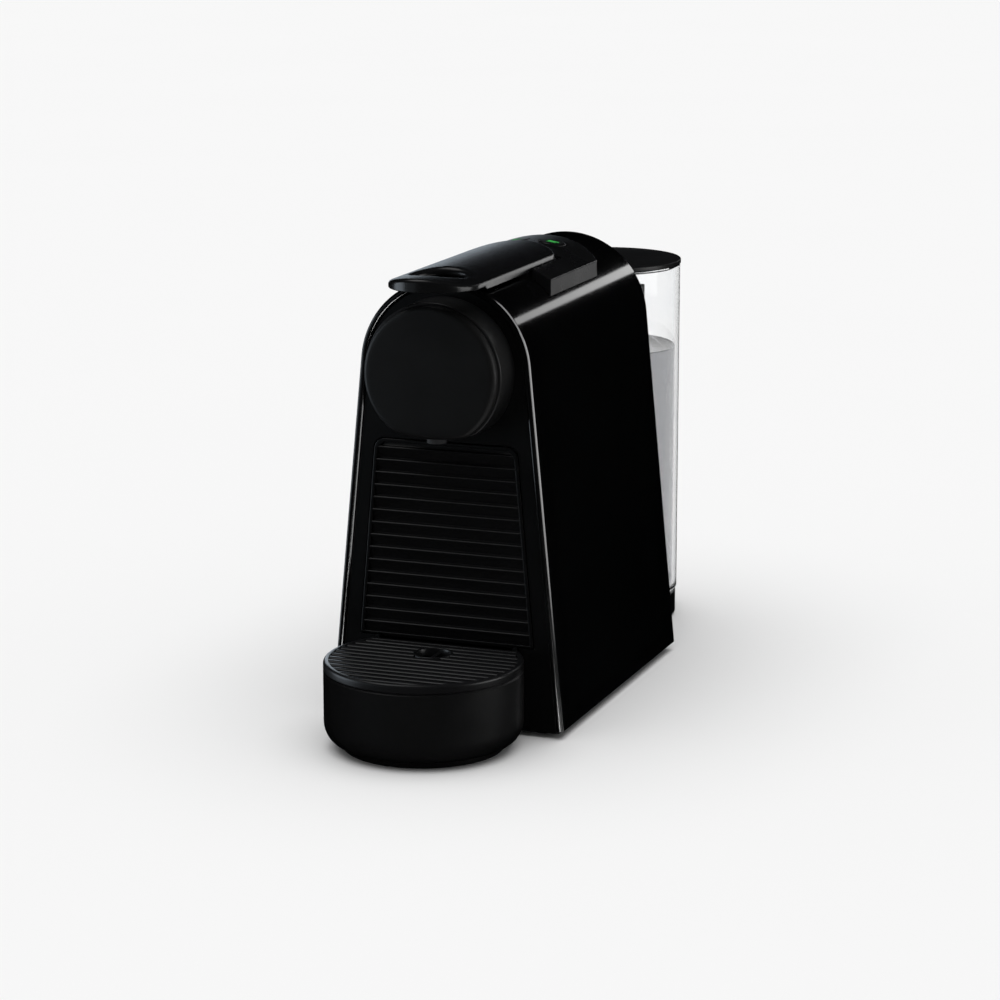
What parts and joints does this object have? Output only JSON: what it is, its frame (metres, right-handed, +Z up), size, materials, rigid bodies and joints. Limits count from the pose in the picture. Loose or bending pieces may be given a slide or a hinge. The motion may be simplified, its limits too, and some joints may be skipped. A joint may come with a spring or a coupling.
{
  "type": "pod coffee machine",
  "caption": "Compact capsule coffee machine: arched body, round head, lift lever over a capsule slot, slide-out drip tray and bin, and a lift-off round water tank.",
  "frame": {"origin": "middle of the footprint at table level", "axes": "+Z up, the front with the cup outlet faces -Y, +X to the right seen from the front"},
  "size_m": [0.11, 0.325, 0.205],
  "materials": {
    "shell_gloss": "high gloss black",
    "frame_satin": "satin black",
    "cap_matte": "fine matte black",
    "ring_satin": "satin dark grey",
    "lever_gloss": "gloss black",
    "housing_satin": "semi-gloss dark grey",
    "button_satin": "satin black with a green cup symbol",
    "inner_plastic": "unpainted black plastic",
    "white_plastic": "natural plastic",
    "steel": "stainless",
    "aluminium_cast": "die cast",
    "board_green": "circuit board",
    "rubber_black": "soft",
    "seal_red": "food-safe silicone",
    "hose_clear": "silicone hose",
    "pump_dark": "moulded",
    "tank_clear": "clear smoked plastic",
    "lid_satin": "satin black",
    "tray_satin": "satin black",
    "grid_satin": "satin black"
  },
  "bodies": {
    "machine": {"side_cover_left": "shell_gloss", "side_cover_right": "shell_gloss", "front_frame": "frame_satin", "head_ring": "ring_satin", "head_cap": "cap_matte", "coffee_outlet": "inner_plastic", "button_housing": "housing_satin", "button_board": "board_green", "button_dome_espresso": "rubber_black", "button_dome_lungo": "rubber_black", "rear_panel": "frame_satin", "tank_cradle": "frame_satin", "base_plate": "inner_plastic", "tank_seat": "frame_satin", "rubber_feet": "rubber_black", "bay_wall": "inner_plastic", "brew_frame": "white_plastic", "extraction_plate": "steel", "pivot_pin": "steel", "water_pump": "pump_dark", "pump_mounts": "rubber_black", "flow_meter": "white_plastic", "thermoblock": "aluminium_cast", "control_board": "board_green", "suction_hose": "hose_clear", "pressure_hose": "hose_clear", "brew_hose": "hose_clear", "tank_socket": "inner_plastic", "cord_gland": "rubber_black", "cover_screws": "steel"},
    "lever": {"lever_handle": "lever_gloss", "lever_cams": "inner_plastic"},
    "brew_piston": {"piston_cage": "aluminium_cast", "piston_carriage": "inner_plastic", "cross_pin": "steel", "piston_seal": "seal_red"},
    "espresso_button": {"button_espresso": "button_satin"},
    "lungo_button": {"button_lungo": "button_satin"},
    "drip_unit": {"tray_base": "tray_satin"},
    "capsule_container": {"container_front": "frame_satin", "container_bin": "inner_plastic"},
    "grid": {"drip_grid": "grid_satin"},
    "water_tank": {"tank_body": "tank_clear", "tank_outlet": "inner_plastic", "valve_spring": "steel"},
    "valve": {"tank_valve": "white_plastic"},
    "lid": {"tank_lid": "lid_satin"}
  },
  "joints": [
    {"name": "lever_hinge", "type": "hinge", "parent": "machine", "child": "lever", "pos_m": [0, -0.009, 0.1945], "axis": [-1, 0, 0], "range_deg": [0, 80]},
    {"name": "piston_slide", "type": "slide", "parent": "machine", "child": "brew_piston", "axis": [0, 1, 0], "range_m": [0, 0.03], "deforming": ["brew_hose"]},
    {"name": "espresso_press", "type": "slide", "parent": "machine", "child": "espresso_button", "axis": [0, 0, -1], "range_m": [0, 0.0011], "stiffness_N_per_m": 500, "springref_m": -0.0006, "deforming": ["button_dome_espresso"]},
    {"name": "lungo_press", "type": "slide", "parent": "machine", "child": "lungo_button", "axis": [0, 0, -1], "range_m": [0, 0.0011], "stiffness_N_per_m": 500, "springref_m": -0.0006, "deforming": ["button_dome_lungo"]},
    {"name": "drip_unit_slide", "type": "slide", "parent": "machine", "child": "drip_unit", "axis": [0, -1, 0], "range_m": [0, 0.13]},
    {"name": "container_pull", "type": "slide", "parent": "drip_unit", "child": "capsule_container", "axis": [0, -1, 0], "range_m": [0, 0.1]},
    {"name": "grid_lift", "type": "slide", "parent": "drip_unit", "child": "grid", "axis": [0, -0.9, 0.4359], "range_m": [0, 0.112]},
    {"name": "tank_lift", "type": "slide", "parent": "machine", "child": "water_tank", "axis": [0, 0, 1], "range_m": [0, 0.12]},
    {"name": "lid_lift", "type": "slide", "parent": "water_tank", "child": "lid", "axis": [0, 0, 1], "range_m": [0, 0.05]},
    {"name": "valve_push", "type": "slide", "parent": "water_tank", "child": "valve", "axis": [0, 0, 1], "range_m": [0, 0.0025], "stiffness_N_per_m": 300, "springref_m": -0.0006, "deforming": ["valve_spring"]}
  ],
  "couplings": [
    {"joint": "piston_slide", "follows": "lever_hinge", "m_per_rad": 0.021486}
  ]
}
